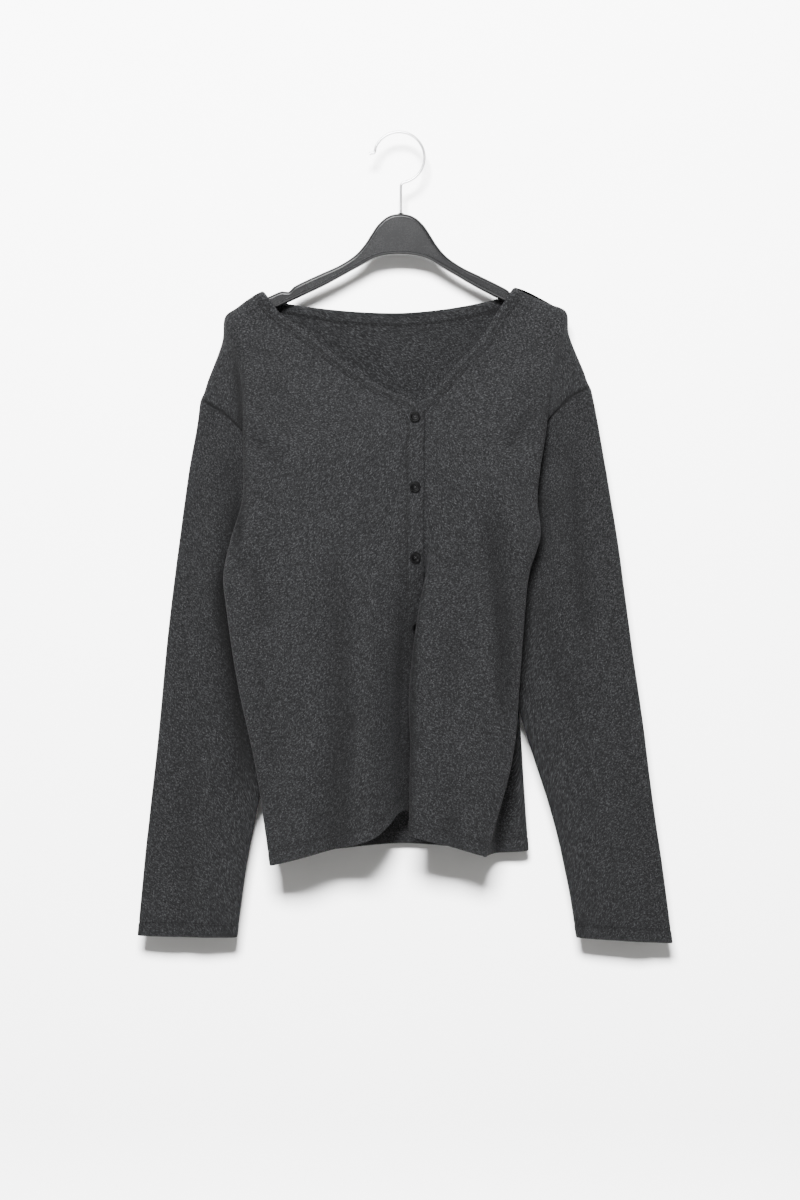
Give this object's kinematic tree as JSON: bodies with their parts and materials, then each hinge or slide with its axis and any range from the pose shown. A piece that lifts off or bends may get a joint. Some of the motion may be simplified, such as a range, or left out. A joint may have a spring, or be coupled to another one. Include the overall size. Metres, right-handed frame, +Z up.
{
  "type": "button cardigan on a hanger",
  "caption": "V-neck button-front knit cardigan with dropped shoulders and long sleeves, hanging on a moulded plastic hanger with a steel wire hook.",
  "frame": {"origin": "the inner top of the hook, where it rests on the rail", "axes": "+X towards the wearer's left along the hanger's arms, +Y from the front of the garment to its back, +Z up"},
  "size_m": [0.567, 0.0707, 0.8599],
  "materials": {
    "charcoal_jersey": "brushed charcoal marl jersey, matt",
    "black_plastic": "satin moulded black",
    "steel_wire": "drawn wire, bright",
    "button_black": "semi-gloss black"
  },
  "bodies": {
    "root": {"hanger_hook": "steel_wire", "hanger_body": "black_plastic", "front_right": "charcoal_jersey", "front_left": "charcoal_jersey", "back": "charcoal_jersey", "sleeve_right": "charcoal_jersey", "sleeve_left": "charcoal_jersey", "button_1": "button_black", "button_2": "button_black", "button_3": "button_black", "button_4": "button_black", "button_5": "button_black", "button_6": "button_black"}
  },
  "joints": []
}
